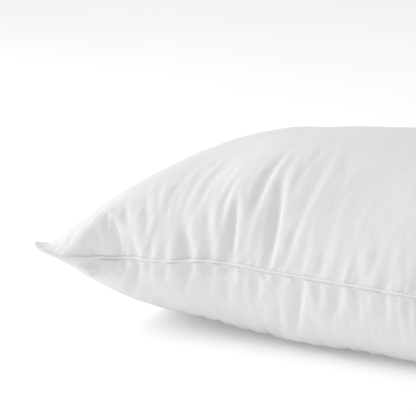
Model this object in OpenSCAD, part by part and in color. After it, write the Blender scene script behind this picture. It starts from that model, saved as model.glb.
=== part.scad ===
// Down-filled bed pillow: two ticking panels, a corded piping all round the seam,
// loose fill, the threads that hold the seam, and a blank care label.
// The pillow lies on z = 0 with its long side along X, and stands centred on the origin.
// Its crown bulges above the seam, and the same bulge below is pressed flat where it lies.

/* [Pillow] */
// Length from corner to corner, before the corners are rounded
corner_l = 728; // [600:1:900]
// Width from corner to corner, before the corners are rounded
corner_w = 484; // [380:1:600]
// Height of the crown above the surface the pillow lies on
loft = 206; // [150:1:230]
// Height of the seam at the four corners
seam_h = 88; // [70:1:100]
// How much higher the seam runs at the middle of the long sides
seam_rise = 5; // [0:1:10]

/* [Outline] */
// How far each short side pulls in at its middle
waist_l = 24; // [5:1:35]
// How far each long side pulls in at its middle
waist_w = 32; // [5:1:40]
// Sharpness of the corners: a higher value gives a smaller corner radius
corner_n = 26; // [16:2:32]

/* [Fabric and seam] */
// Thickness of the ticking
ticking_t = 0.5; // [0.4:0.1:0.8]
// Width of the seam allowance that is turned inside
allowance = 8; // [6:0.5:9]
// Radius of the cord inside the piping
cord_r = 1.1; // [0.9:0.1:1.4]
// Thickness of the bias strip that covers the cord
strip_t = 0.35; // [0.3:0.05:0.5]
// Radius of the sewing thread
thread_r = 0.2; // [0.15:0.05:0.25]

/* [Closing and label] */
// Length of the filling opening that is sewn up last, on the short side at +X
opening_l = 240; // [150:10:300]
// Distance of the care label from the middle of that side
label_y = 150; // [130:5:170]
// Width of the care label along the seam
label_w = 30; // [20:1:40]
// Length of the care label below the seam
label_l = 42; // [25:1:55]

/* [Hidden] */

// Shape of the bulge from seam to crown: bulge = (1 - |u|^bulge_u)^rise_u * (1 - |v|^bulge_v)^rise_v
bulge_u = 3;
rise_u = 0.4;
bulge_v = 2.2;
rise_v = 0.42;
// Shape of the sides between corners, as powers of the distance from the middle
bow_l = 2.4;
bow_w = 3.5;
// How the corner rounding fades towards the middle of the pillow
corner_fade = 8;

// Stations round the outline, closer together near the corners, and rings from crown to seam
n_long = 28;
n_short = 20;
n_rings = 10;
ring_crowding = 2.2;

half_l = corner_l / 2;
half_w = corner_w / 2;

// Room round a line of thread, round the cord, under the edging, and between ticking and fill
thread_room = 0.05;
cord_room = 0.2;
edging_room = 0.1;
fill_room = 0.8;

// Layers of the seam, as heights from its middle plane
slit = 0.05;
strip_z = slit + strip_t;
layer_gap = 2 * (thread_r + thread_room);
panel_z = strip_z + layer_gap;
stack_z = panel_z + ticking_t;
groove_z = stack_z + 2 * thread_r + fill_room;

// The piping: radius of its cover, and the angle over which the cover is open towards the seam
cord_bore_r = cord_r + cord_room;
cover_r = cord_bore_r + strip_t;
neck = 40;
// How far inside the seam line the piping's own stitches and those of the panels run
piping_stitch_in = 1.6;
panel_stitch_in = 1.5;
// The closing stitches: how far outside the seam line, and their distance from the piping
closing_out = 0.5;
closing_room = 0.6;
// Edging of the raw edges: its thickness, and how far in from them it reaches
edging_t = 0.3;
edging_w = 2.5;
// The label: thickness of one ply, its bend over the piping, and where it comes out below it
ply = 0.4;
bend_r = 3;
label_out = 0.6;
label_drop = 0.7;

// Height of the crown above the edge of the upper panel at the seam
crown_h = loft - seam_h - seam_rise - panel_z;
// How far the bulge is drawn below the surface before the flat is cut
sunk = 3;

// The outline runs anticlockwise: front, right end, back, left end. Each station is a point on
// the edge of the square from -1 to 1.
function along(i, n) = sin(90 * (2 * i / n - 1));
stations = concat(
  [for (i = [0:n_long - 1]) [along(i, n_long), -1]],
  [for (i = [0:n_short - 1]) [1, along(i, n_short)]],
  [for (i = [0:n_long - 1]) [-along(i, n_long), 1]],
  [for (i = [0:n_short - 1]) [-1, -along(i, n_short)]]);
n_st = len(stations);

// Rounds a corner station inwards, and leaves the stations along the sides where they are
function rounding(d) = pow(pow(abs(d.x), corner_n) + pow(abs(d.y), corner_n), -1 / corner_n);
// Place on the plan of the point (u, v) of the square
function plan(u, v) = [
  u * (half_l - waist_l * (1 - pow(abs(v), bow_l))),
  v * (half_w - waist_w * (1 - pow(abs(u), bow_w)))];
function seam_z(u) = seam_h + seam_rise * (1 - u * u);
function bulge(u, v) = pow(max(0, 1 - pow(abs(u), bulge_u)), rise_u)
  * pow(max(0, 1 - pow(abs(v), bulge_v)), rise_v);

// Point of a panel at ring r (0 at the middle, 1 at the seam); side is 1 on top, -1 below
function panel_point(r, d, side) =
  let (p = plan(r * d.x * (1 - (1 - rounding(d)) * pow(r, corner_fade)),
                r * d.y * (1 - (1 - rounding(d)) * pow(r, corner_fade))))
  [p.x, p.y, seam_z(r * d.x) + side * (panel_z + crown_h * bulge(r * d.x, r * d.y))];
function ring_r(k) = 1 - pow(1 - k / n_rings, ring_crowding);
function panel_ring(k, side) = [for (d = stations) panel_point(ring_r(k), d, side)];

// Unit normal that points out of a panel, from the neighbouring points of the same skin. Along
// the ring's radius the neighbours are this share of the way to the middle or to the seam.
near_share = 0.3;
function unit(v) = v / norm(v);
function out_normal(r, s, side) =
  let (before = stations[(s + n_st - 1) % n_st], after = stations[(s + 1) % n_st],
       step = near_share * min(r, 1 - r),
       round_way = panel_point(r, after, side) - panel_point(r, before, side),
       out_way = panel_point(r + step, stations[s], side) - panel_point(r - step, stations[s], side))
  unit(side * cross(out_way, round_way));
// A ring moved inwards from the outer skin by depth
function inner_ring(k, side, depth) = [for (s = [0:n_st - 1])
  panel_point(ring_r(k), stations[s], side) - depth * out_normal(ring_r(k), s, side)];
function floor_at(ring, low) = [for (p = ring) [p.x, p.y, max(p.z, low)]];

// The seam line, and the level direction that points out of the pillow at each station
seam = [for (d = stations) let (p = plan(d.x * rounding(d), d.y * rounding(d)))
  [p.x, p.y, seam_z(d.x)]];
seam_out = [for (s = [0:n_st - 1])
  let (t = seam[(s + 1) % n_st] - seam[(s + n_st - 1) % n_st]) unit([t.y, -t.x, 0])];
// A point o outwards and z upwards of the seam line, and the ring of such points. Inwards, the
// ring is a smaller copy of the seam, so that it can't cross itself at a corner.
function seam_point(s, o, z) = o > 0 ? seam[s] + o * seam_out[s] + [0, 0, z]
  : [seam[s].x * (1 + o / half_l), seam[s].y * (1 + o / half_w), seam[s].z + z];
function seam_ring(o, z) = [for (s = [0:n_st - 1]) seam_point(s, o, z)];

// Two triangles for each cell between rings a and b of n points; the rings are closed. Going
// back, a cell is split along its other diagonal, so that nested skins bend alike.
function band(a, b, n, back = false) = [for (i = [0:n - 1]) let (j = (i + 1) % n)
  each back ? [[a + i, a + j, b + i], [a + j, b + j, b + i]]
            : [[a + i, b + j, b + i], [a + i, a + j, b + j]]];
function fan(a, n, tip, flip) = [for (i = [0:n - 1]) let (j = (i + 1) % n)
  flip ? [tip, a + j, a + i] : [tip, a + i, a + j]];

// Closed skin through rings that run out from one tip and back to another
module skin(rings, first_tip, last_tip) {
  n = len(rings[0]);
  m = len(rings);
  polyhedron(
    points = concat([for (ring = rings) each ring], [first_tip, last_tip]),
    faces = concat(
      fan(0, n, m * n, true),
      [for (k = [0:m - 2]) each band(k * n, (k + 1) * n, n, k >= m / 2)],
      fan((m - 1) * n, n, m * n + 1, false)));
}

// Closed hoop: a section of [out, up] points carried all round the seam
module hoop(section) {
  m = len(section);
  polyhedron(
    points = [for (q = section) each seam_ring(q.x, q.y)],
    faces = [for (k = [0:m - 1]) each band(k * n_st, ((k + 1) % m) * n_st, n_st)]);
}

// Open run: a section carried from one station to another, with flat ends
module run(section, first, last) {
  m = len(section);
  n = last - first + 1;
  polyhedron(
    points = [for (s = [first:last]) each [for (q = section) seam_point(s, q.x, q.y)]],
    faces = concat(
      [for (k = [0:n - 2]) each band((k + 1) * m, k * m, m)],
      [[for (i = [m - 1:-1:0]) (n - 1) * m + i], [for (i = [0:m - 1]) i]]));
}

// Round section of n sides about the point (o, z), clockwise from angle a0 through turn
function arc(o, z, r, a0, turn, n) = [for (i = [0:n]) let (a = a0 - turn * i / n)
  [o + r * cos(a), z + r * sin(a)]];
function thread_section(o, z) = [for (i = [0:3]) [o, z] + thread_r * [cos(-90 * i), sin(-90 * i)]];

function crown_tip(side, depth) = [0, 0, seam_z(0) + side * (panel_z + crown_h - depth)];

// A panel is the outer skin to the seam, the allowance turned inside, and the inner skin
function allowance_rings(side) = [
  seam_ring(0, side * panel_z), seam_ring(-allowance, side * panel_z),
  seam_ring(-allowance, side * stack_z), seam_ring(-ticking_t, side * stack_z)];

module top_panel() {
  color("white")
    skin(concat([for (k = [1:n_rings - 1]) panel_ring(k, 1)],
                allowance_rings(1),
                [for (k = [n_rings - 1:-1:1]) inner_ring(k, 1, ticking_t)]),
         crown_tip(1, 0), crown_tip(1, ticking_t));
}

// The lower panel is cut off level where it lies, so it has one true flat face
module bottom_panel() {
  color("whitesmoke") difference() {
    skin(concat([for (k = [1:n_rings - 1]) floor_at(inner_ring(k, -1, ticking_t), ticking_t)],
                [for (k = [3:-1:0]) allowance_rings(-1)[k]],
                [for (k = [n_rings - 1:-1:1]) floor_at(panel_ring(k, -1), -sunk)]),
         [0, 0, ticking_t], [0, 0, -sunk]);
    translate([-half_l, -half_w, -2 * sunk]) cube([corner_l, corner_w, 2 * sunk]);
  }
}

// One mass of fill, with a groove all round that the seam allowance and its edging lie in
module down_fill() {
  depth = ticking_t + fill_room;
  edge = depth + fill_room;
  reach = allowance + edging_t + fill_room;
  color("ivory")
    skin(concat([for (k = [1:n_rings - 1]) inner_ring(k, 1, depth)],
                [seam_ring(-edge, groove_z), seam_ring(-reach, groove_z),
                 seam_ring(-reach, -groove_z), seam_ring(-edge, -groove_z)],
                [for (k = [n_rings - 1:-1:1]) floor_at(inner_ring(k, -1, depth), depth)]),
         crown_tip(1, depth), [0, 0, depth]);
}

// A bias strip folded over the cord; its two raw edges run inwards between the panels
module piping_cover() {
  outside = arc(cover_r, 0, cover_r, 180 - neck / 2, 360 - neck, 8);
  inside = arc(cover_r, 0, cord_bore_r, 180 + neck / 3, 2 * neck / 3 - 360, 7);
  color("snow") hoop(concat(
    [[-allowance, strip_z], [0, strip_z]], outside,
    [[0, -strip_z], [-allowance, -strip_z], [-allowance, -slit], [0, -slit]],
    inside, [[0, slit], [-allowance, slit]]));
}

module piping_cord() {
  color("linen") hoop([for (i = [0:5]) [cover_r, 0] + cord_r * [cos(-60 * i), sin(-60 * i)]]);
}

// Holds the strip closed over the cord: one line above the strip and one below
module piping_thread() {
  color("ghostwhite") for (side = [-1, 1])
    hoop(thread_section(-piping_stitch_in, side * (strip_z + layer_gap / 2)));
}

// Joins both panels to the piping: one line above the layers and one below
module seam_thread() {
  color("ghostwhite") for (side = [-1, 1])
    hoop(thread_section(-panel_stitch_in, side * (stack_z + thread_r + thread_room)));
}

// Sews up the filling opening close beside the piping, above it and below it
module closing_thread() {
  right_end = [for (s = [n_long:n_long + n_short - 1]) if (abs(seam[s].y) <= opening_l / 2) s];
  color("ghostwhite") for (side = [-1, 1])
    run(thread_section(closing_out, side * (cover_r + closing_room)),
        right_end[0], right_end[len(right_end) - 1]);
}

// Edging that wraps the raw edges of all four layers
module overlock_edging() {
  reach = allowance + edging_room;
  inner_z = stack_z + edging_room;
  outer_z = inner_z + edging_t;
  color("ghostwhite") hoop([
    [edging_w - reach, inner_z], [edging_w - reach, outer_z],
    [-reach - edging_t, outer_z], [-reach - edging_t, -outer_z],
    [edging_w - reach, -outer_z], [edging_w - reach, -inner_z],
    [-reach, -inner_z], [-reach, inner_z]]);
}

// Blank folded ribbon caught under the piping; it bends over the piping and hangs down
module care_label() {
  hang = label_l - bend_r;
  tilt = bow_l * waist_l / half_w * pow(label_y / half_w, bow_l - 1);
  seam_x = half_l - waist_l * (1 - pow(label_y / half_w, bow_l));
  level = -cover_r - label_drop;
  color("white")
    translate([seam_x, label_y, seam_z(1) + level]) rotate([90, 0, -atan(tilt)])
      translate([0, 0, -label_w / 2]) linear_extrude(label_w)
        polygon(concat(
          [[label_out, 0]], arc(2 * cover_r, -bend_r, bend_r, 90, 90, 6),
          [[2 * cover_r + bend_r, -hang]],
          arc(2 * cover_r + bend_r - ply, -hang, ply, 0, 180, 6),
          arc(2 * cover_r, -bend_r, bend_r - 2 * ply, 0, -90, 6), [[label_out, -2 * ply]]));
}

top_panel();
bottom_panel();
down_fill();
piping_cover();
piping_cord();
piping_thread();
seam_thread();
closing_thread();
overlock_edging();
care_label();
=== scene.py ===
"""Down-filled bed pillow: the looks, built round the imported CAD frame.

The ticking is two sheets of cloth joined at a corded seam and pushed apart by their fill. A small
position-based cloth solver finds their shape, and every other piece follows the solved seam.
"""

import math

import bpy
import numpy as np
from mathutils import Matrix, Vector


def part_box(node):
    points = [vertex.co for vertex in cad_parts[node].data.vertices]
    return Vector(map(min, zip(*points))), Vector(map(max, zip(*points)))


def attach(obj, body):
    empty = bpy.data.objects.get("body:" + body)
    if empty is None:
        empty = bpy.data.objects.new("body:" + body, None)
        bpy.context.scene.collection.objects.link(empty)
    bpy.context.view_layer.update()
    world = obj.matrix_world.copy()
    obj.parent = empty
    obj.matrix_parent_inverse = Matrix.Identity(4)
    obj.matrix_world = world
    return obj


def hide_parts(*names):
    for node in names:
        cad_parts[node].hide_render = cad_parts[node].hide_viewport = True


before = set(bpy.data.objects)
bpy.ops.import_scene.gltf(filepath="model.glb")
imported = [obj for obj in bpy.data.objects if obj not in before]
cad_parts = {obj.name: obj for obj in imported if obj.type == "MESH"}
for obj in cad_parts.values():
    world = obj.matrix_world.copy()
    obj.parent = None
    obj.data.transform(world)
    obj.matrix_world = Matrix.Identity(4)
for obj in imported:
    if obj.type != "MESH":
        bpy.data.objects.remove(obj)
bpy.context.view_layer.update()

PANEL_LOW, PANEL_HIGH = (np.array(c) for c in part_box("top_panel"))

# Sizes in metres: the sewn size of the flat cover, and what is turned in at its seam
CUT_L = 0.75
CUT_W = 0.50
TICKING_T = 0.0005
ALLOWANCE = 0.008
CORD_R = 0.0011
STRIP_T = 0.00035
COVER_R = CORD_R + 0.0002 + STRIP_T
# How far the middle of the piping stands out from the seam line
PIPING_OUT = 0.6 * COVER_R
THREAD_R = 0.0002
STITCH = 0.0028
# Height of the turned-in ticking from the seam's middle plane
TURNED_Z = STRIP_T + 2 * THREAD_R + 0.00015
LOFT = PANEL_HIGH[2]
OPENING_L = 0.24


# ---------------------------------------------------------------- cloth solver

SEED = 5
# Cells of the coarsest grid along and across; each level after it has twice as many
CELLS = (33, 22)
# Each level's iterations, load for each step as a share of a cell, bending stiffness, and share
# of the spare cloth that it works with: coarse levels shape the pillow and fine ones its folds
LEVELS = [(600, 0.002, 0.02, 0), (500, 0.001, 0.02, 0.3), (500, 0.0005, 0.02, 0.7),
          (400, 0.0005, 0.03, 1)]
# Spans, in stations of the seam, over which the piping resists bending, for each level
CORD_SPANS = [(2,), (2, 4), (4, 8), (4, 8, 16)]
CORD_STIFF = 0.7
SHEAR_STIFF = 0.3
# The share of its speed that a point keeps each step, the height that the flat sheets start at,
# and the unevenness that each level starts with, as a share of a cell
KEEP_SPEED = 0.9
START_Z = 0.03
NOISE = 0.02
# The cells are this much closer together at the seam than the mean
CROWDING = 0.25
# Sharpness of the corners of the cut, and how fast their rounding fades inwards
CORNER_N = 26
CORNER_FADE = 8

# The fill: free height at the middle, how far it yields at full load, its fall towards the seam
# as a power of the place and a power of that, each way, and its lumps with their wavelengths
FREE_LOFT = 0.21
FILL_GIVE = 0.03
DOME = (4.4, 1.0, 3.2, 0.8)
LUMP = 0.03
LUMP_LEN = (0.06, 0.2)
# The fill doesn't get into the tips of the corners
EMPTY_TIP = 0.018
CLOTH_WEIGHT = 0.005
FILL_WEIGHT = 0.02
# The least pressure, where the gap is wider than the fill, as a share of the most
LEAST_PRESSURE = -0.2

# The seam takes up this share of the cloth along it, unevenly
GATHER = 0.045
GATHER_SPREAD = 0.6
GATHER_LEN = (0.03, 0.15)
GATHER_AT_CORNER = 0.2
# Spare cloth near the seam, which falls into folds that run away from it: how much, how unevenly
# and over which wavelengths, and how far in it reaches; upper, lower panel
SPARE = (0.014, 0.038)
SPARE_SPREAD = (0.014, 0.042)
SPARE_LEN = (0.011, 0.04)
SPARE_REACH = (0.065, 0.036)
REACH_SPREAD = 0.25
REACH_LEN = (0.08, 0.25)
# A little unevenness all over, and the share of the spare cloth that the short sides have
SPARE_ALL_OVER = 0.008
SHORT_SIDE_SHARE = 0.7
# How much shorter and shallower the folds are at the middle of a side; upper, lower panel
CALM = (0.6, 0)
# The spare cloth comes in patches with more and with less of it
SPARE_PATCH = 0.35
SPARE_PATCH_LEN = (0.15, 0.4)
# No spare cloth within the first distance of a corner, and all of it past the second
CORNER_CLEAR = (0.02, 0.14)
# The corners: how far they lift, how far their seam sags, and how far in that reaches
CORNER_LIFT = 0.018
CORNER_SAG = 0.008
CORNER_REACH = 0.18
TIP_RISE = 0.010
TIP_REACH = 0.035
# The lift is whole at the floor and the sag at the seam. So far below the seam these shares of
# both act, and so far above it neither does.
SEAM_HEIGHT = 0.09
BELOW_SEAM = 0.03
ABOVE_SEAM = 0.05
LIFT_BELOW = 0.35
SAG_BELOW = 0.5
# How much fuller the upper panel is beside a corner, how far from it that is and how far it
# spreads, and how far inside the seam it is whole
CORNER_FULL = 0.008
CORNER_FULL_AT = 0.09
CORNER_FULL_REACH = 0.07
CORNER_FULL_INSIDE = 0.035
# Distance between the sheets' edges, with the piping between them; how far they stand out beyond
# the seam line, how far in that reaches, and how often its direction is evened out
EDGE_GAP = 0.0035
EDGE_OUT = 0.0011
EDGE_REACH = 0.005
EDGE_BLURS = 3
# Depths inside the seam at which the room between the sheets is measured, how many rows of cells
# beside the seam are searched for it, from how many grid points each height is taken, and the
# least share of their height that the layers in there keep
INSIDE_DEPTHS = (0.0024, 0.0083)
INSIDE_ROWS = 16
INSIDE_POINTS = 4
LEAST_SQUASH = 0.05
# How far each panel is skewed against the seam, which makes its folds lean, and how unevenly
LEAN = (-0.24, -0.14)
LEAN_SPREAD = 0.05
LEAN_LEN = (0.08, 0.25)


class Waves:
    """Smooth random field: a sum of cosines with wavelengths in a band, of unit strength."""

    def __init__(self, rng, band, count=60):
        short, long = band
        length = short * (long / short) ** rng.random(count)
        angle = 2 * np.pi * rng.random(count)
        self.k = 2 * np.pi / length[:, None] * np.stack([np.cos(angle), np.sin(angle)], 1)
        self.phase = 2 * np.pi * rng.random(count)

    def __call__(self, x, y=0.0):
        total = 0
        for (kx, ky), phase in zip(self.k, self.phase):
            total = total + np.cos(kx * x + ky * y + phase)
        return np.clip(total * math.sqrt(2 / len(self.phase)), -2, 2)


def smoothstep(t):
    t = np.clip(t, 0, 1)
    return t * t * (3 - 2 * t)


def lengths(a):
    return np.sqrt(np.einsum("...i,...i->...", a, a))


def pull(a, b, rest, stiff=1.0):
    """Moves paired points, which are views, towards their rest distance."""
    d = b - a
    n = lengths(d) + 1e-9
    d *= (0.5 * stiff * (n - rest) / n)[..., None]
    a += d
    b -= d


def face_area_normals(p):
    """Area-weighted normals of both sheets, pointing out of the pillow, for each grid point."""
    gx = np.gradient(p, axis=2)
    gy = np.gradient(p, axis=1)
    n = np.cross(gx, gy)
    n[1] *= -1
    return n


def refine(p):
    """Twice as many cells, with new points on a smooth curve through the old ones."""
    def between(a, axis):
        a = np.moveaxis(a, axis, 1)
        a = np.concatenate([2 * a[:, :1] - a[:, 1:2], a, 2 * a[:, -1:] - a[:, -2:-1]], 1)
        middle = (-a[:, :-3] + 9 * a[:, 1:-2] + 9 * a[:, 2:-1] - a[:, 3:]) / 16
        return np.moveaxis(middle, 1, axis)
    sheets, ny, nx, _ = p.shape
    q = np.empty((sheets, 2 * ny - 1, 2 * nx - 1, 3), p.dtype)
    q[:, ::2, ::2] = p
    q[:, ::2, 1::2] = between(p, 2)
    q[:, 1::2, :] = between(q[:, ::2, :], 1)
    return q


def loop_index(ny, nx):
    """Rows and columns of the grid's edge, anticlockwise from the front left corner."""
    grid = np.arange(ny * nx).reshape(ny, nx)
    loop = np.concatenate([grid[0, :-1], grid[:-1, -1], grid[-1, :0:-1], grid[:0:-1, 0]])
    return np.unravel_index(loop, (ny, nx))


def flat_pattern(nx, ny):
    """Where the grid's points lie on the cloth before it is sewn, and their (u, v)."""
    def spaced(n):
        t = np.linspace(-1, 1, n)
        return t + CROWDING * np.sin(np.pi * t) / np.pi
    u, v = np.meshgrid(spaced(nx), spaced(ny))
    rounding = (np.abs(u) ** CORNER_N + np.abs(v) ** CORNER_N + 1e-30) ** (-1 / CORNER_N)
    out = np.maximum(np.abs(u), np.abs(v))
    keep = 1 - (1 - np.minimum(rounding, 1)) * out ** CORNER_FADE
    return np.stack([u * keep * CUT_L / 2, v * keep * CUT_W / 2], -1), u, v


class Cloth:
    """Both sheets at one level of the grid, with the rest lengths of their cloth."""

    def __init__(self, level, fields, spare):
        nx, ny = (c * 2 ** level + 1 for c in CELLS)
        self.flat, u, v = flat_pattern(nx, ny)
        x, y = self.flat[..., 0], self.flat[..., 1]
        in_x, in_y = (1 - np.abs(u)) * CUT_L / 2, (1 - np.abs(v)) * CUT_W / 2
        self.loop = loop_index(ny, nx)
        self.spans = CORD_SPANS[level]
        self.cell = (CUT_L / (nx - 1) + CUT_W / (ny - 1)) / 2

        fall_u, power_u, fall_v, power_v = DOME
        dome = (1 - np.abs(u) ** fall_u) ** power_u * (1 - np.abs(v) ** fall_v) ** power_v
        dome *= 1 - np.exp(-(np.hypot(in_x, in_y) / EMPTY_TIP) ** 2)
        self.loft = (FREE_LOFT * dome * (1 + LUMP * fields["lump"](x, y))).astype(np.float32)

        low, high = CORNER_CLEAR
        def clear(d):
            return smoothstep((d - low) / (high - low))
        patch = spare * (1 + SPARE_PATCH * fields["patch"](x, y))
        uneven_reach = 1 + REACH_SPREAD * fields["reach"](x, y)
        long_way, cross_way, skew = [], [], []
        for side in (0, 1):
            wx, wy = fields["spare"][2 * side], fields["spare"][2 * side + 1]
            reach = SPARE_REACH[side] * uneven_reach
            calm_x, calm_y = (1 - CALM[side] * (1 - w ** 2) ** 2 for w in (u, v))
            near_long = np.exp(-(in_y / reach / calm_x) ** 2) * clear(in_x) * patch * calm_x
            near_short = (np.exp(-(in_x / reach / calm_y) ** 2) * clear(in_y) * patch * calm_y
                          * SHORT_SIDE_SHARE)
            long_way.append(1 + near_long * (SPARE[side] + SPARE_SPREAD[side] * wx(x, y))
                            + SPARE_ALL_OVER * wx(y, x))
            cross_way.append(1 + near_short * (SPARE[side] + SPARE_SPREAD[side] * wy(x, y))
                             + SPARE_ALL_OVER * wy(y, x))
            lean = LEAN[side] + LEAN_SPREAD * fields["lean"][side](x, y)
            skew.append(lean * (near_long - near_short))
        self.set_rests(np.stack(long_way), np.stack(cross_way), np.stack(skew))
        self.set_seam(u, v, clear, fields["gather"])

    def set_rests(self, ex, ey, skew):
        f = self.flat[None]
        def mean(a, *cuts):
            return sum(a[c] for c in cuts) / len(cuts)
        left, right = np.s_[:, :, :-1], np.s_[:, :, 1:]
        low, high = np.s_[:, :-1], np.s_[:, 1:]
        corners = (np.s_[:, 1:, 1:], np.s_[:, :-1, 1:], np.s_[:, 1:, :-1], np.s_[:, :-1, :-1])
        scale = np.stack([mean(ex, *corners), mean(ey, *corners)], -1)
        tilt = mean(skew, *corners)
        rest = {
            "x": lengths(f[right] - f[left]) * mean(ex, left, right),
            "y": lengths(f[high] - f[low]) * mean(ey, low, high),
            "x2": lengths(f[:, :, 2:] - f[:, :, :-2]) * ex[:, :, 1:-1],
            "y2": lengths(f[:, 2:] - f[:, :-2]) * ey[:, 1:-1],
            "up": lengths((f[corners[0]] - f[corners[3]]) * scale) * (1 - tilt),
            "down": lengths((f[corners[1]] - f[corners[2]]) * scale) * (1 + tilt),
        }
        self.rest = {k: r.astype(np.float32) for k, r in rest.items()}
        area = np.cross(np.gradient(self.flat, axis=1), np.gradient(self.flat, axis=0))
        self.area = np.abs(area)[None, ..., None].astype(np.float32)

    def set_seam(self, u, v, clear, gather):
        line = self.flat[self.loop]
        step = lengths(np.roll(line, -1, 0) - line)
        self.along = np.r_[0, np.cumsum(step)]
        from_corner = np.minimum((1 - np.abs(u)) * CUT_L / 2 + (1 - np.abs(v)) * CUT_W / 2, 1)
        share = GATHER_AT_CORNER + (1 - GATHER_AT_CORNER) * clear(from_corner[self.loop])
        taken = GATHER * share * np.clip(1 + GATHER_SPREAD * gather(self.along[:-1]), 0, 3)
        self.seam_step = step * (1 - taken)

    def hold_seam(self, q):
        """The piping: it doesn't stretch, and it bends less easily than the cloth."""
        s = 0.5 * (q[0][self.loop] + q[1][self.loop])
        rest = self.seam_step.astype(np.float32)
        for start in (0, 1):
            a, b = s[start::2].copy(), np.roll(s, -1, 0)[start::2].copy()
            pull(a, b, rest[start::2])
            s[start::2] = a
            s[(np.arange(start, len(s), 2) + 1) % len(s)] = b
        total = np.r_[np.cumsum(rest), np.cumsum(rest) + rest.sum()]
        first = np.r_[0, total]
        for span in self.spans:
            far = first[span:span + len(s)] - first[:len(s)]
            d = np.roll(s, -span, 0) - s
            n = lengths(d) + 1e-9
            d *= (0.25 * CORD_STIFF * np.minimum(n - far, 0) / n)[:, None]
            s += d - np.roll(d, span, 0)
        q[0][self.loop] = s
        q[1][self.loop] = s

    def square_up(self, q):
        """Keeps the back of the seam straight behind its front, against the cloth's skew."""
        across = (q[0][-1] - q[0][0]).mean(0)
        q[..., 0] -= across[0] / across[1] * q[..., 1]

    def settle(self, p, steps, load, stiff):
        """Runs the level: fill pressure and weight, then the cloth's lengths, seam and floor."""
        rest = self.rest
        speed = np.zeros_like(p)
        push = load * self.cell
        for _ in range(steps):
            gap = p[0][..., 2] - p[1][..., 2]
            pressure = np.clip((self.loft - gap) / FILL_GIVE, LEAST_PRESSURE, 1)
            move = face_area_normals(p) / self.area * pressure[None, ..., None] * push
            move[0, ..., 2] -= CLOTH_WEIGHT * push
            move[1, ..., 2] -= (CLOTH_WEIGHT + FILL_WEIGHT * gap / FREE_LOFT) * push
            q = p + speed * KEEP_SPEED + move
            for o in (0, 1):
                pull(q[:, :, o:-1:2], q[:, :, o + 1::2], rest["x"][:, :, o::2])
            for o in (0, 1):
                pull(q[:, o:-1:2], q[:, o + 1::2], rest["y"][:, o::2])
            for o in (0, 1):
                pull(q[:, :-1, o:-1:2], q[:, 1:, o + 1::2], rest["up"][:, :, o::2], SHEAR_STIFF)
                pull(q[:, 1:, o:-1:2], q[:, :-1, o + 1::2], rest["down"][:, :, o::2], SHEAR_STIFF)
            for o in range(4):
                a, b = q[:, :, o:-2:4], q[:, :, o + 2::4]
                pull(a, b, rest["x2"][:, :, o::4], stiff)
                a, b = q[:, o:-2:4], q[:, o + 2::4]
                pull(a, b, rest["y2"][:, o::4], stiff)
            self.hold_seam(q)
            self.square_up(q)
            over = np.maximum(0, q[1][..., 2] - q[0][..., 2]) / 2
            q[0][..., 2] += over
            q[1][..., 2] -= over
            down = q[..., 2] < 0
            q[..., 2] = np.maximum(q[..., 2], 0)
            q[down, :2] = 0.5 * (q[down, :2] + p[down, :2])
            speed = q - p
            p = q
        return p


def solve_pillow():
    """The settled sheets as an array (sheet, row, column, xyz), and the last level's cloth."""
    rng = np.random.default_rng(SEED)
    fields = {
        "spare": [Waves(rng, SPARE_LEN) for _ in range(4)],
        "lean": [Waves(rng, LEAN_LEN) for _ in range(2)],
        "lump": Waves(rng, LUMP_LEN),
        "patch": Waves(rng, SPARE_PATCH_LEN),
        "gather": Waves(rng, GATHER_LEN),
        "reach": Waves(rng, REACH_LEN),
    }
    levels = LEVELS
    p = None
    for level, (steps, load, stiff, spare) in enumerate(levels):
        cloth = Cloth(level, fields, spare)
        if p is None:
            u, v = 2 * cloth.flat[..., 0] / CUT_L, 2 * cloth.flat[..., 1] / CUT_W
            rise = START_Z * (1 - u ** 2) * (1 - v ** 2)
            sheets = [np.dstack([cloth.flat, START_Z + side * rise]) for side in (1, -1)]
            p = np.stack(sheets).astype(np.float32)
        else:
            p = refine(p)
        noise = NOISE * cloth.cell * rng.standard_normal(p.shape[:-1])
        noise[:, [0, -1]] = 0
        noise[:, :, [0, -1]] = 0
        p[..., 2] += noise.astype(np.float32)
        p = cloth.settle(p, steps, load, stiff)
    return p.astype(float), cloth


def fit_to_cad(p, loop):
    """Centres the sheets and scales them to the CAD panels, by about 1 to 3% each way."""
    seam = p[0][loop]
    low, high = seam.min(0), seam.max(0)
    for axis in (0, 1):
        size = (PANEL_HIGH - PANEL_LOW)[axis] / (high - low)[axis]
        p[..., axis] = (p[..., axis] - (low + high)[axis] / 2) * size
    p[..., 2] *= LOFT / p[..., 2].max()
    return p


def from_edge(cloth):
    """How far each point of the flat cloth is inside the sewn edge."""
    x, y = np.abs(cloth.flat[..., 0]), np.abs(cloth.flat[..., 1])
    return np.minimum(CUT_L / 2 - x, CUT_W / 2 - y)


def shape_corners(p, cloth):
    """The thin corners: lifted off the floor, their seam a little lower, the tips turned up.

    The upper panel is also made a little fuller beside them.
    """
    half_l, half_w = PANEL_HIGH[:2]
    d = np.hypot(half_l - np.abs(p[..., 0]), half_w - np.abs(p[..., 1]))
    heights = [0, SEAM_HEIGHT - BELOW_SEAM, SEAM_HEIGHT, SEAM_HEIGHT + ABOVE_SEAM]
    moves = [CORNER_LIFT, LIFT_BELOW * CORNER_LIFT - SAG_BELOW * CORNER_SAG, -CORNER_SAG, 0]
    shift = np.interp(p[..., 2], heights, moves) * np.exp(-(d / CORNER_REACH) ** 2)
    p[..., 2] += shift + TIP_RISE * np.exp(-(d / TIP_REACH) ** 2)
    beside = np.exp(-((d[0] - CORNER_FULL_AT) / CORNER_FULL_REACH) ** 2)
    p[0, ..., 2] += CORNER_FULL * beside * smoothstep(from_edge(cloth) / CORNER_FULL_INSIDE)
    return p


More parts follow.
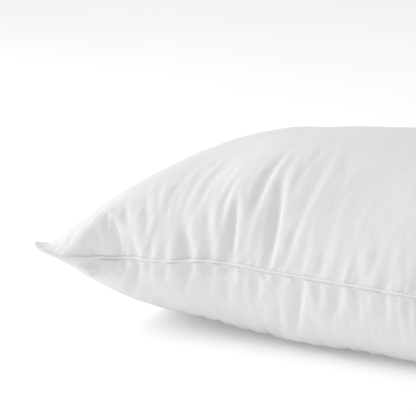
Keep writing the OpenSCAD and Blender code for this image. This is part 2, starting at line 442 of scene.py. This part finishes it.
def part_edges(p, cloth, seam):
    """Moves the sheets' edges apart to the upper and lower side of the piping between them."""
    p[:, cloth.loop[0], cloth.loop[1]] = seam.line[:-1]
    edge = from_edge(cloth)
    edge[cloth.loop] = 0
    near = np.exp(-(edge / EDGE_REACH) ** 2)
    out = face_area_normals(p).sum(0)[..., :2]
    out /= lengths(out)[..., None] + 1e-12
    out[cloth.loop] = seam.out[:-1, :2]
    for _ in range(EDGE_BLURS):
        padded = np.pad(out, ((1, 1), (1, 1), (0, 0)), "edge")
        out = (2 * out + padded[2:, 1:-1] + padded[:-2, 1:-1] + padded[1:-1, 2:]
               + padded[1:-1, :-2]) / 6
    out /= lengths(out)[..., None] + 1e-12
    p[..., :2] += EDGE_OUT * near[..., None] * out
    gap = p[0, ..., 2] - p[1, ..., 2]
    parted = np.hypot(gap, EDGE_GAP) - gap
    p[0, ..., 2] += parted / 2
    p[1, ..., 2] -= parted / 2
    p[..., 2] = np.maximum(p[..., 2], 0)
    return p


# ---------------------------------------------------------------- mesh building

def add_object(name, verts, faces, material):
    mesh = bpy.data.meshes.new(name)
    mesh.from_pydata(np.asarray(verts, float).tolist(), [], [tuple(f) for f in faces])
    mesh.update()
    mesh.polygons.foreach_set("use_smooth", [True] * len(mesh.polygons))
    mesh.materials.append(material)
    obj = bpy.data.objects.new(name, mesh)
    bpy.context.scene.collection.objects.link(obj)
    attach(obj, "root")
    return obj


def add_attribute(obj, name, values, domain="POINT"):
    """Stores a number or a vector for each point or face corner, which the materials read."""
    values = np.asarray(values, np.float32)
    kind, field = ("FLOAT", "value") if values.ndim == 1 else ("FLOAT_VECTOR", "vector")
    attribute = obj.data.attributes.new(name, kind, domain)
    attribute.data.foreach_set(field, values.ravel())


def grid_faces(rows, cols, flip=False):
    ids = np.arange(rows * cols).reshape(rows, cols)
    q = np.stack([ids[:-1, :-1], ids[:-1, 1:], ids[1:, 1:], ids[1:, :-1]], -1).reshape(-1, 4)
    return q[:, ::-1] if flip else q


def band_faces(rings, sides, closed):
    """Quads of a tube whose points are numbered ring by ring."""
    count = rings if closed else rings - 1
    r, s = np.meshgrid(np.arange(count), np.arange(sides), indexing="ij")
    r2, s2 = (r + 1) % rings, (s + 1) % sides
    return np.stack([r * sides + s, r2 * sides + s, r2 * sides + s2, r * sides + s2],
                    -1).reshape(-1, 4)


def thicken(obj, thickness):
    """Gives a sheet its thickness, on its inner side unless the offset is changed."""
    modifier = obj.modifiers.new("thickness", "SOLIDIFY")
    modifier.thickness = thickness
    modifier.offset = -1
    return modifier


def soften(values, times):
    """Evens out values that run round a closed loop."""
    for _ in range(times):
        values = 0.25 * np.roll(values, 1, 0) + 0.5 * values + 0.25 * np.roll(values, -1, 0)
    return values


class Seam:
    """The solved seam as a smooth closed line, with a frame at any distance along it."""

    def __init__(self, sheets, loop):
        line = soften(sheets.mean(0)[loop], 2)
        closed = np.vstack([line, line[:1]])
        self.at = np.r_[0, np.cumsum(lengths(np.diff(closed, axis=0)))]
        self.length = self.at[-1]
        self.line = closed
        tangent = np.roll(line, -2, 0) - np.roll(line, 2, 0)
        tangent /= lengths(tangent)[:, None]
        out = np.cross(tangent, (0, 0, 1))
        out = soften(out / lengths(out)[:, None], 4)
        out /= lengths(out)[:, None]
        self.out = np.vstack([out, out[:1]])
        nothing = np.zeros(len(self.at))
        self.inside = [(0.0, nothing, nothing + 1)]

    def fit_between(self, sheets):
        """Learns how the middle between the parted sheets rises inwards, and the room there."""
        inner = np.ones(sheets.shape[1:3], bool)
        inner[INSIDE_ROWS:-INSIDE_ROWS, INSIDE_ROWS:-INSIDE_ROWS] = False
        for depth in INSIDE_DEPTHS:
            place = (self.line - depth * self.out)[:-1]
            heights = []
            for sheet in sheets:
                away = lengths(place[:, None, :2] - sheet[inner][None, :, :2])
                nearest = np.argpartition(away, INSIDE_POINTS, axis=1)[:, :INSIDE_POINTS]
                share = 1 / (np.take_along_axis(away, nearest, 1) + 1e-5)
                heights.append((sheet[inner][nearest, 2] * share).sum(1) / share.sum(1))
            rise = soften((heights[0] + heights[1]) / 2 - self.line[:-1, 2], 2)
            room = soften((heights[0] - heights[1]) / 2, 2) - 2 * TICKING_T
            squash = np.clip(room / (TURNED_Z + TICKING_T), LEAST_SQUASH, 1)
            self.inside.append((depth, np.r_[rise, rise[0]], np.r_[squash, squash[0]]))

    def place(self, along, o, z):
        """Points o outwards and z up from the seam, at distances along it.

        Inwards they keep to the middle between the sheets, closer to it where the room is small.
        """
        s = np.mod(along, self.length)
        centre = np.stack([np.interp(s, self.at, self.line[:, k]) for k in range(3)], -1)
        out = np.stack([np.interp(s, self.at, self.out[:, k]) for k in range(3)], -1)
        out /= lengths(out)[..., None]
        lift, squash = 0.0, 1.0
        for (d0, rise0, squash0), (d1, rise1, squash1) in zip(self.inside, self.inside[1:]):
            share = np.clip((-np.asarray(o) - d0) / (d1 - d0), 0, 1)
            lift = lift + share * np.interp(s, self.at, rise1 - rise0)
            squash = squash + share * np.interp(s, self.at, squash1 - squash0)
        up = lift + squash * z
        return centre + np.asarray(o)[..., None] * out + up[..., None] * (0, 0, 1)


def sweep(seam, name, section, rings, material, wobble=None):
    """A section of (out, up) points carried all round the seam as one closed hoop."""
    section = np.asarray(section)
    along = np.arange(rings) * seam.length / rings
    o = np.tile(section[:, 0], (rings, 1))
    z = np.tile(section[:, 1], (rings, 1))
    if wobble is not None:
        o, z = wobble(along[:, None], o, z)
    points = seam.place(np.tile(along[:, None], (1, len(section))), o, z)
    obj = add_object(name, points.reshape(-1, 3), band_faces(rings, len(section), True),
                     material)
    # Stored for face corners, as the last face would otherwise run back to the hoop's start
    ring = np.repeat(np.arange(rings), len(section))[:, None] + (0, 1, 1, 0)
    add_attribute(obj, "along", ring.ravel() * seam.length / rings, "CORNER")
    return obj


# A direction that no thread or strand runs along, to turn its round section from
NO_PATH_RUNS = (0.12, 0.23, 0.97)


def strands(name, paths, radius, sides, closed, material):
    """Thin round tubes along many paths, each an array (point, xyz), as one piece."""
    verts, faces, total = [], [], 0
    for path in paths:
        tangent = np.roll(path, -1, 0) - np.roll(path, 1, 0)
        if not closed:
            tangent[0], tangent[-1] = path[1] - path[0], path[-1] - path[-2]
        tangent /= lengths(tangent)[:, None] + 1e-12
        side = np.cross(tangent, NO_PATH_RUNS)
        side /= lengths(side)[:, None] + 1e-12
        up = np.cross(side, tangent)
        angle = 2 * np.pi * np.arange(sides) / sides
        ring = np.cos(angle)[:, None] * side[:, None] + np.sin(angle)[:, None] * up[:, None]
        verts.append((path[:, None] + radius * ring).reshape(-1, 3))
        quads = band_faces(len(path), sides, closed) + total
        faces.extend(map(tuple, quads))
        if not closed:
            last = total + (len(path) - 1) * sides
            faces.append(tuple(range(total + sides - 1, total - 1, -1)))
            faces.append(tuple(range(last, last + sides)))
        total += len(path) * sides
    return add_object(name, np.vstack(verts), faces, material)


# ---------------------------------------------------------------- materials

# The ticking's weave, and the relief in metres of its threads, slubs, creases and puckers
WEAVE_PITCH = 0.0005
THREAD_DEPTH = 0.00004
SLUB_DEPTH = 0.00006
CREASE_DEPTH = 0.0006
PUCKER_DEPTH = 0.0001
# Small gathers beside the seam: how many for each metre along it, their relief, and their width
# as a share of their length. None cross the panel's diagonals.
GATHER_SCALE = 60.0
GATHER_DEPTH = 0.005
GATHER_STRETCH = 0.45
PLAIN_DIAGONAL = 0.03
# How fast the puckers and the gathers fade with the distance from the seam
PUCKER_FADE = 220.0
GATHER_FADE = 18.0
# The diagonal ribs of the piping's strip and the cross ribs of the label's ribbon
PIPING_RIB = 0.0006
PIPING_RIB_DEPTH = 0.00002
PIPING_UNEVEN = 0.0002
LABEL_RIB = 0.0004
LABEL_RIB_DEPTH = 0.000015
LABEL_UNEVEN = 0.0002
# A material's tone goes from its low to its high colour over this middle part of its noise
TONE_LOW = 0.3
TONE_HIGH = 0.7


class Nodes:
    """Short way to write a material's node tree."""

    def __init__(self, name, **values):
        self.material = bpy.data.materials.new(name)
        self.material.use_nodes = True
        self.tree = self.material.node_tree
        self.shader = self.tree.nodes["Principled BSDF"]
        for socket, value in values.items():
            self.shader.inputs[socket.replace("_", " ")].default_value = value

    def add(self, kind, **settings):
        node = self.tree.nodes.new("ShaderNode" + kind)
        for key, value in settings.items():
            setattr(node, key, value)
        return node

    def feed(self, socket, value):
        if isinstance(value, bpy.types.NodeSocket):
            self.tree.links.new(value, socket)
        else:
            socket.default_value = value

    def attribute(self, name, output="Fac"):
        return self.add("Attribute", attribute_name=name).outputs[output]

    def math(self, operation, a, b=0.0, c=0.0):
        node = self.add("Math", operation=operation)
        for socket, value in zip(node.inputs, (a, b, c)):
            self.feed(socket, value)
        return node.outputs[0]

    def vector(self, *values):
        node = self.add("CombineXYZ")
        for socket, value in zip(node.inputs, values):
            self.feed(socket, value)
        return node.outputs[0]

    def scaled(self, vector, scale):
        node = self.add("Mapping")
        self.feed(node.inputs["Vector"], vector)
        node.inputs["Scale"].default_value = scale
        return node.outputs[0]

    def split(self, vector):
        node = self.add("SeparateXYZ")
        self.feed(node.inputs[0], vector)
        return node.outputs

    def noise(self, vector, scale, detail=3.0, roughness=0.5):
        node = self.add("TexNoise")
        self.feed(node.inputs["Vector"], vector)
        node.inputs["Scale"].default_value = scale
        node.inputs["Detail"].default_value = detail
        node.inputs["Roughness"].default_value = roughness
        return node.outputs["Fac"]

    def tone(self, noise, low, high):
        """The base colour goes from low to high with the noise."""
        node = self.add("ValToRGB")
        self.feed(node.inputs[0], noise)
        stops = node.color_ramp.elements
        stops[0].position, stops[1].position = TONE_LOW, TONE_HIGH
        stops[0].color, stops[1].color = low, high
        self.feed(self.shader.inputs["Base Color"], node.outputs[0])

    def roughness(self, noise, low, high):
        self.feed(self.shader.inputs["Roughness"],
                  self.math("MULTIPLY_ADD", noise, high - low, low))

    def product(self, first, *others):
        for other in others:
            first = self.math("MULTIPLY", first, other)
        return first

    def wave(self, value, pitch):
        """A sine wave that repeats after each pitch of the value."""
        return self.math("SINE", self.math("MULTIPLY", value, 2 * math.pi / pitch))

    def fading(self, distance, rate):
        """1 at no distance, falling exponentially."""
        return self.math("POWER", math.e, self.math("MULTIPLY", distance, -rate))

    def bump(self, *heights):
        """Sum of heights in metres, as relief."""
        total = heights[0]
        for height in heights[1:]:
            total = self.math("ADD", total, height)
        node = self.add("Bump")
        node.inputs["Distance"].default_value = 1.0
        node.inputs["Strength"].default_value = 1.0
        self.feed(node.inputs["Height"], total)
        self.feed(self.shader.inputs["Normal"], node.outputs[0])

    def weave(self, vector, pitch):
        """Plain weave of unit height: threads of each way pass over and under in turn."""
        x, y, _ = self.split(vector)
        a, b = self.wave(x, 2 * pitch), self.wave(y, 2 * pitch)
        over = self.math("GREATER_THAN", self.math("MULTIPLY", a, b), 0.0)
        warp = self.math("MULTIPLY", self.math("ABSOLUTE", a), over)
        weft = self.math("MULTIPLY", self.math("ABSOLUTE", b), self.math("SUBTRACT", 1.0, over))
        return self.math("ADD", warp, weft)


def white(level, warmth=0.0):
    return (level * (1 + warmth), level, level * (1 - warmth), 1)


def ticking_material():
    """Close plain-weave cotton, softly creased, with puckers along the stitched edge."""
    m = Nodes("ticking", Specular_IOR_Level=0.25, Sheen_Weight=0.12, Sheen_Roughness=0.5)
    cloth = m.attribute("cloth", "Vector")
    edge = m.attribute("edge")
    gathered = m.attribute("gathered")
    along = m.attribute("along")
    m.tone(m.noise(cloth, 9.0, 4.0, 0.6), white(0.79), white(0.81))
    m.roughness(m.noise(cloth, 60.0), 0.75, 0.95)
    threads = m.product(m.weave(cloth, WEAVE_PITCH), THREAD_DEPTH)
    creases = m.product(m.noise(cloth, 70.0, 5.0, 0.55), CREASE_DEPTH)
    pucker = m.product(m.wave(along, STITCH), m.fading(edge, PUCKER_FADE), gathered, PUCKER_DEPTH)
    upper = m.math("GREATER_THAN", m.split(cloth)[2], 0.5)
    beside = m.vector(along, m.product(edge, GATHER_STRETCH), upper)
    gathers = m.product(m.noise(beside, GATHER_SCALE, 1.0), gathered,
                        m.fading(edge, GATHER_FADE), GATHER_DEPTH)
    slubs = m.product(m.noise(m.scaled(cloth, (1.0, 14.0, 1.0)), 90.0, 2.0), SLUB_DEPTH)
    m.bump(threads, creases, pucker, gathers, slubs)
    return m.material


def piping_material():
    """Bias-cut sateen strip: fine diagonal ribs round the cord."""
    m = Nodes("piping", Specular_IOR_Level=0.4, Sheen_Weight=0.25, Sheen_Roughness=0.35)
    place = m.add("TexCoord").outputs["Object"]
    m.tone(m.noise(place, 40.0), white(0.78), white(0.81))
    m.roughness(m.noise(place, 150.0), 0.5, 0.65)
    rib = m.wave(m.math("ADD", m.attribute("along"), m.split(place)[2]), PIPING_RIB)
    m.bump(m.product(rib, PIPING_RIB_DEPTH), m.product(m.noise(place, 300.0), PIPING_UNEVEN))
    return m.material


def fibre_material(name, low, high, scale, relief, **values):
    """Loose or twisted fibre: a fine uneven surface with a soft tone change."""
    m = Nodes(name, **values)
    place = m.add("TexCoord").outputs["Object"]
    m.tone(m.noise(place, scale * 0.2, 4.0, 0.6), low, high)
    m.roughness(m.noise(place, scale * 0.5), 0.7, 0.95)
    m.bump(m.product(m.noise(place, scale, 6.0, 0.65), relief))
    return m.material


def label_material():
    """Satin ribbon: fine ribs across it and a soft gloss."""
    m = Nodes("label", Specular_IOR_Level=0.5, Sheen_Weight=0.15, Sheen_Roughness=0.3)
    cloth = m.attribute("cloth", "Vector")
    m.tone(m.noise(cloth, 30.0), white(0.86), white(0.9))
    m.roughness(m.noise(cloth, 200.0), 0.35, 0.5)
    rib = m.wave(m.split(cloth)[1], LABEL_RIB)
    m.bump(m.product(rib, LABEL_RIB_DEPTH), m.product(m.noise(cloth, 90.0), LABEL_UNEVEN))
    return m.material


# ---------------------------------------------------------------- pieces

# The ticking's turned-in edge: how far out each of its two rings is, and how often it is evened
TURNED_RINGS = ((-0.0006, 0), (-ALLOWANCE, 8))
SHARP_EDGE = math.radians(60)
# The fill: how many rows of cells it leaves out at the seam, every which row it keeps, its depth
# under the sheets and its least thickness; the groove's half height as a share of the thickness
# and at most, and its distance from the turned-in layers
FILL_INSET = 4
FILL_STEP = 2
FILL_DEPTH = 0.0016
FILL_THINNEST = 0.0004
GROOVE_SHARE = 0.3
GROOVE_HALF = TURNED_Z + 0.002
GROOVE_CLEAR = 0.0015
# The piping's strip: how far its round part stops short of its back on each side, where its plies
# lie together from, the length of seam between its rings, and the ripples in it: their height,
# and the share and turn for each metre of the slower ones
NECK_ANGLE = math.radians(24)
NECK_OUT = -0.0012
PIPING_RING = 0.0013
RIPPLE = 0.022
SLOW_RIPPLE = 0.6
SLOW_RIPPLE_TURN = 410
# The cord: three strands lie in a circle this much wider than one of them; the length of cord in
# which they go round once, and the rings in that
THREE_IN_ONE = 2.155
CORD_LAY = 0.008
CORD_RINGS = 14
# Where the rows of stitches are, out and up from the seam: two inside, and the one by hand
PIPING_ROW = (-0.0016, STRIP_T + THREAD_R)
SEAM_ROW = (-0.0024, TURNED_Z + TICKING_T + THREAD_R)
CLOSING_ROW = (0.0016, EDGE_GAP / 2 + THREAD_R)
CLOSING_SLOPE = 0.0012
# The part of a stitch's pitch that shows, from and to, in so many points
STITCH_SHOWS = (0.08, 0.86, 5)
# The overlock's pitch, how far in it reaches and how much of that it covers, and its sway
OVERLOCK_PITCH = 0.003
OVERLOCK_REACH = ALLOWANCE + 0.0003
OVERLOCK_BITE = 0.0025
OVERLOCK_SWAY = 0.0006
OVERLOCK_POINTS = 8
# The label: its place along the seam from the middle of the side, its width and its drop; its
# height under the seam and how far in its ends are caught; its bend, half the distance between
# its plies, and its thickness
LABEL_Y = 0.15
LABEL_W = 0.030
LABEL_L = 0.042
LABEL_TOP = -COVER_R - 0.0007
LABEL_CAUGHT = -0.004
LABEL_BEND = 0.003
LABEL_PLY = 0.0004
LABEL_T = 0.0002
LABEL_COLS = 13
LABEL_ROWS = 22
# Its curl away from the pillow, its twist and its sway along the seam, at its foot
LABEL_CURL = 0.024
LABEL_CURL_FROM = 0.3
LABEL_TWIST = 0.004
LABEL_SWAY = 0.004
# The panel's bulge beside it: levels at which that is measured, how near points count, and how
# far clear of it the label stays
LABEL_LEVELS = 30
LABEL_NEAR = 0.004
LABEL_CLEAR = 0.002


def ticking_panel(name, node, points, cloth, seam, side):
    """A sheet with its edge turned in round the piping's neck; side is 1 on top, -1 below."""
    rows, cols = points.shape[:2]
    count = len(seam.line) - 1
    verts = [points.reshape(-1, 3)]
    flat = [cloth.flat.reshape(-1, 2)]
    faces = [grid_faces(rows, cols)]
    last = cloth.loop[0] * cols + cloth.loop[1]
    for turned, smoothing in TURNED_RINGS:
        verts.append(soften(seam.place(seam.at[:-1], turned, side * TURNED_Z), smoothing))
        flat.append(cloth.flat[cloth.loop] - turned * seam.out[:-1, :2])
        ring = np.arange(count) + sum(map(len, verts[:-1]))
        faces.append(np.stack([np.roll(last, -1), last, ring, np.roll(ring, -1)], -1))
        last = ring
    faces = np.vstack(faces)[:, ::side]
    obj = add_object(name, np.vstack(verts), faces, MATERIALS["ticking"])
    x, y = np.vstack(flat).T
    add_attribute(obj, "cloth", np.stack([x, y, side + 0 * x], -1))
    to_long, to_short = CUT_W / 2 - np.abs(y), CUT_L / 2 - np.abs(x)
    add_attribute(obj, "edge", np.maximum(np.minimum(to_long, to_short), 0))
    add_attribute(obj, "gathered", 1 - np.exp(-((to_long - to_short) / PLAIN_DIAGONAL) ** 2))
    add_attribute(obj, "along", np.where(to_long < to_short, x, y))
    obj.data.set_sharp_from_angle(angle=SHARP_EDGE)
    thicken(obj, TICKING_T)
    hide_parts(node)


def fill_form(p, normal, seam):
    """The down as one mass, with a groove all round that the turned-in seam lies in."""
    kept = np.s_[FILL_INSET:-FILL_INSET:FILL_STEP]
    inner = (p - FILL_DEPTH * normal)[:, kept, kept]
    inner[1, ..., 2] = np.maximum(inner[1, ..., 2], FILL_DEPTH)
    middle = inner.mean(0)
    thick = np.maximum(inner[0, ..., 2] - inner[1, ..., 2], FILL_THINNEST)
    inner[0, ..., 2], inner[1, ..., 2] = (middle[..., 2] + side * thick / 2 for side in (1, -1))
    rows, cols = thick.shape
    count = rows * cols
    edge = np.ravel_multi_index(loop_index(rows, cols), (rows, cols))
    away = lengths((middle.reshape(-1, 3)[edge, None] - seam.line[None, :-1])[..., :2])
    station = seam.at[away.argmin(1)]
    half = np.minimum(GROOVE_SHARE * thick.ravel()[edge], GROOVE_HALF)
    rings = [seam.place(station, -ALLOWANCE - GROOVE_CLEAR, side * half) for side in (1, -1)]
    groove = 2 * count + np.arange(len(edge))
    bands = [edge, groove, groove + len(edge), edge + count]
    faces = [grid_faces(rows, cols), grid_faces(rows, cols, True) + count]
    for a, b in zip(bands, bands[1:]):
        faces.append(np.stack([b, np.roll(b, -1), np.roll(a, -1), a], -1))
    obj = add_object("fill", np.vstack([inner.reshape(-1, 3), *rings]), np.vstack(faces),
                     MATERIALS["fill"])
    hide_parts("down_fill")


def piping(seam):
    """The cover strip: round the cord, then two plies that run in between the panels."""
    angle = np.linspace(math.pi - NECK_ANGLE, NECK_ANGLE - math.pi, 15)
    round_cord = np.stack([PIPING_OUT + COVER_R * np.cos(angle), COVER_R * np.sin(angle)], -1)
    section = np.vstack([(-ALLOWANCE, STRIP_T), (NECK_OUT, STRIP_T), round_cord,
                         (NECK_OUT, -STRIP_T), (-ALLOWANCE, -STRIP_T)])

    def ripple(along, o, z):
        """Bias cloth draws into faint slanting ripples between its stitches."""
        slant = (np.sin(2 * np.pi * (along + z) / (1.5 * STITCH))
                 + SLOW_RIPPLE * np.sin(along * SLOW_RIPPLE_TURN + 1))
        swell = 1 + RIPPLE * slant * (o > 0)
        return PIPING_OUT + (o - PIPING_OUT) * swell, z * swell

    rings = int(seam.length / PIPING_RING)
    obj = sweep(seam, "piping", section, rings, MATERIALS["piping"], ripple)
    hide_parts("piping_cover")


def piping_core(seam):
    """Three strands of cotton laid into a cord."""
    strand_r = CORD_R / THREE_IN_ONE
    reach = CORD_R - strand_r
    count = int(seam.length / CORD_LAY)
    rings = count * CORD_RINGS
    along = np.arange(rings) * seam.length / rings
    paths = []
    for k in range(3):
        turn = 2 * np.pi * (count * along / seam.length + k / 3)
        paths.append(seam.place(along, PIPING_OUT + reach * np.cos(turn), reach * np.sin(turn)))
    obj = strands("piping_core", paths, strand_r, 6, True, MATERIALS["cord"])
    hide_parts("piping_cord")


def stitch_paths(seam, first, last, o, z, slope=0.0):
    """One short arched stitch after another along the seam."""
    count = max(1, round((last - first) / STITCH))
    starts = first + (last - first) * np.arange(count) / count
    t = np.linspace(*STITCH_SHOWS)
    arch = 1 - (2 * t - t.max() - t.min()) ** 4 / (t.max() - t.min()) ** 4
    side = 1 if z > 0 else -1
    for start in starts:
        yield seam.place(start + t * STITCH, o + slope * (t - 0.5),
                         z + side * THREAD_R * (arch - 1))


def stitch_rows(seam, name, node, o, z):
    """One row of machine stitches above the seam's middle plane and one below it."""
    paths = []
    for side in (-1, 1):
        paths += list(stitch_paths(seam, 0, seam.length, o, side * z))
    obj = strands(name, paths, THREAD_R, 5, False, MATERIALS["thread"])
    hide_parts(node)


def closing_stitches(seam, middle):
    """Slip stitches that close the filling opening beside the piping, above and below it."""
    o, z = CLOSING_ROW
    paths = []
    for side in (-1, 1):
        paths += list(stitch_paths(seam, middle - OPENING_L / 2, middle + OPENING_L / 2, o,
                                   side * z, CLOSING_SLOPE))
    obj = strands("closing_stitches", paths, THREAD_R, 6, False, MATERIALS["thread"])
    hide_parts("closing_thread")


def overlock(seam):
    """Looped thread that wraps the raw edges of the layers inside."""
    loops = int(seam.length / OVERLOCK_PITCH)
    t = np.arange(loops * OVERLOCK_POINTS) / OVERLOCK_POINTS
    along = t * seam.length / loops + OVERLOCK_SWAY * np.sin(4 * np.pi * t)
    o = -OVERLOCK_REACH + OVERLOCK_BITE * (0.5 - 0.5 * np.cos(2 * np.pi * t))
    z = (TURNED_Z + TICKING_T + THREAD_R) * np.sin(2 * np.pi * t)
    path = seam.place(along, o, z)
    obj = strands("overlock", [path], THREAD_R, 5, True, MATERIALS["thread"])
    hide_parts("overlock_edging")


def label_path():
    """The ribbon's path as (out, up) points from the seam: bent down, round its foot and back."""
    out, bend, ply = 2 * COVER_R, LABEL_BEND, LABEL_PLY
    quarter = np.linspace(0, math.pi / 2, 6)
    hang = np.linspace(0, LABEL_L - bend, LABEL_ROWS)[1:]
    front = [(LABEL_CAUGHT, 0), (0.0, 0)]
    front += [(out + bend * math.sin(a), bend * (math.cos(a) - 1)) for a in quarter]
    front += [(out + bend, -bend - h) for h in hang]
    foot = [(out + bend - ply * (1 - math.cos(a)), -LABEL_L - ply * math.sin(a))
            for a in np.linspace(0, math.pi, 7)[1:]]
    back = [(o - 2 * ply, z) for o, z in front[::-1] if z < -bend - 2 * ply]
    back += [(out + (bend - 2 * ply) * math.sin(a),
              bend * (math.cos(a) - 1) - 2 * ply * math.cos(a)) for a in quarter[::-1]]
    back += [(0.0, -2 * ply), (LABEL_CAUGHT, -2 * ply)]
    return np.array(front + foot + back)


def bulge_push(panel, root, out, tangent):
    """Levels below the label's root, and how far the lower panel pushes it out at each."""
    near = (panel - root)[np.abs((panel - root) @ tangent) < LABEL_W / 2 + LABEL_NEAR]
    levels = np.linspace(0, -LABEL_L, LABEL_LEVELS)
    reach = [(near @ out)[np.abs(near[:, 2] - h) < LABEL_NEAR].max(initial=0) for h in levels]
    spare = 2 * COVER_R + LABEL_BEND - 2 * LABEL_PLY - LABEL_CLEAR
    # Below the widest place the ribbon hangs straight down; a mean of five rounds the bends
    push = np.maximum(np.maximum.accumulate(reach) - spare, 0)
    return -levels, np.convolve(np.pad(push, 2, "edge"), np.full(5, 0.2), "valid")


def label(seam, middle, panel):
    """Blank ribbon folded at its foot and caught under the piping; it bends and hangs down."""
    line = label_path()
    gone = np.r_[0, np.cumsum(lengths(np.diff(line, axis=0)))]
    across = np.linspace(-LABEL_W / 2, LABEL_W / 2, LABEL_COLS)
    w, s = np.meshgrid(across, gone)
    o, z = (np.tile(line[:, k][:, None], (1, LABEL_COLS)) for k in (0, 1))
    drop = np.clip(-z / LABEL_L, 0, 1)
    curl = drop ** 2 * (LABEL_CURL * (w / LABEL_W + LABEL_CURL_FROM) ** 2
                        + LABEL_TWIST * w / LABEL_W)
    sway = LABEL_SWAY * drop ** 1.5
    # Its place on the seam, and one just past it for the seam's direction
    root, ahead = (seam.place(np.full(1, middle + LABEL_Y + d), np.zeros(1), np.zeros(1))[0]
                   for d in (0, 0.01))
    tangent = (ahead - root) * (1, 1, 0)
    tangent /= np.linalg.norm(tangent)
    out = np.cross(tangent, (0, 0, 1))
    o = o + np.interp(-z - LABEL_TOP, *bulge_push(panel, root, out, tangent))
    points = (root + (o + curl)[..., None] * out + (w + sway)[..., None] * tangent
              + (z + LABEL_TOP)[..., None] * (0, 0, 1))
    obj = add_object("label", points.reshape(-1, 3), grid_faces(len(line), LABEL_COLS),
                     MATERIALS["label"])
    add_attribute(obj, "cloth", np.stack([w, s, 0 * s], -1).reshape(-1, 3))
    thicken(obj, LABEL_T).offset = 0
    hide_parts("care_label")


MATERIALS = {
    "ticking": ticking_material(),
    "piping": piping_material(),
    "cord": fibre_material("cord", white(0.78, 0.03), white(0.86, 0.02), 900.0, 0.0001,
                           Specular_IOR_Level=0.2),
    "fill": fibre_material("fill", white(0.82, 0.02), white(0.9, 0.02), 120.0, 0.004,
                           Specular_IOR_Level=0.1, Sheen_Weight=0.4, Sheen_Roughness=0.7),
    "thread": fibre_material("thread", white(0.84), white(0.9), 1500.0, 0.00004,
                             Specular_IOR_Level=0.45, Sheen_Weight=0.2, Sheen_Roughness=0.3),
    "label": label_material(),
}

sheets, cloth = solve_pillow()
sheets = shape_corners(fit_to_cad(sheets, cloth.loop), cloth)
seam = Seam(sheets, cloth.loop)
sheets = part_edges(sheets, cloth, seam)
seam.fit_between(sheets)
normals = face_area_normals(sheets)
normals /= lengths(normals)[..., None] + 1e-12

fill_form(sheets, normals, seam)
ticking_panel("ticking_top", "top_panel", sheets[0], cloth, seam, 1)
ticking_panel("ticking_bottom", "bottom_panel", sheets[1], cloth, seam, -1)
piping(seam)
piping_core(seam)
stitch_rows(seam, "piping_stitches", "piping_thread", *PIPING_ROW)
stitch_rows(seam, "seam_stitches", "seam_thread", *SEAM_ROW)
overlock(seam)
# The middle of the short side at +X, as a distance along the seam
right_middle = seam.at[len(cloth.flat[0]) - 1 + (len(cloth.flat) - 1) // 2]
closing_stitches(seam, right_middle)
label(seam, right_middle, sheets[1])


# ---------------------------------------------------------------- floor, light and camera

AZIMUTH, ELEVATION = 36.2, 10.4
DISTANCE = 2.6
LENS = 216.7
# The camera aims at a point beside the pillow's middle, as metres to the right and up in its view
MIDDLE = (0, 0, 0.09)
AIM_RIGHT = -0.229
AIM_UP = 0.0377
KEY_PLACE = (-2.5, -0.8, 1.2)
KEY_SIZE = 1.4
KEY_POWER = 36
KEY_TARGET = (0, 0, 0.1)
SKY = 0.75
FLOOR_GLOW = 0.14
FLOOR_HALF = 15


def stage():
    mesh = bpy.data.meshes.new("floor")
    quad = ((-1, -1), (1, -1), (1, 1), (-1, 1))
    corners = [(x * FLOOR_HALF, y * FLOOR_HALF, 0) for x, y in quad]
    mesh.from_pydata(corners, [], [(0, 1, 2, 3)])
    m = Nodes("floor", Roughness=0.9, Specular_IOR_Level=0.1, Emission_Strength=FLOOR_GLOW)
    place = m.add("TexCoord").outputs["Object"]
    m.tone(m.noise(place, 3.0), white(0.95), white(0.97))
    m.shader.inputs["Emission Color"].default_value = white(1.0)
    mesh.materials.append(m.material)
    floor = bpy.data.objects.new("floor", mesh)
    bpy.context.scene.collection.objects.link(floor)


def lights():
    light = bpy.data.lights.new("key", "AREA")
    light.size, light.energy = KEY_SIZE, KEY_POWER
    obj = bpy.data.objects.new("key", light)
    bpy.context.scene.collection.objects.link(obj)
    obj.location = KEY_PLACE
    aim = Vector(KEY_TARGET) - Vector(KEY_PLACE)
    obj.rotation_euler = aim.to_track_quat("-Z", "Y").to_euler()
    world = bpy.data.worlds.new("studio")
    world.use_nodes = True
    background = world.node_tree.nodes["Background"]
    background.inputs["Color"].default_value = (1, 1, 1, 1)
    background.inputs["Strength"].default_value = SKY
    bpy.context.scene.world = world
    bpy.context.scene.view_settings.view_transform = "Standard"


def camera():
    """At the photograph's angle and closeness, so that only the front left part is in view."""
    a, e = math.radians(AZIMUTH), math.radians(ELEVATION)
    back = Vector((math.sin(a) * math.cos(e), -math.cos(a) * math.cos(e), math.sin(e)))
    right = Vector((math.cos(a), math.sin(a), 0))
    up = back.cross(right)
    aim = Vector(MIDDLE) + right * AIM_RIGHT + up * AIM_UP
    data = bpy.data.cameras.new("camera")
    data.sensor_width = 36
    data.lens = LENS
    obj = bpy.data.objects.new("camera", data)
    bpy.context.scene.collection.objects.link(obj)
    obj.location = aim + back * DISTANCE
    obj.rotation_euler = back.to_track_quat("Z", "Y").to_euler()
    bpy.context.scene.camera = obj


stage()
lights()
camera()
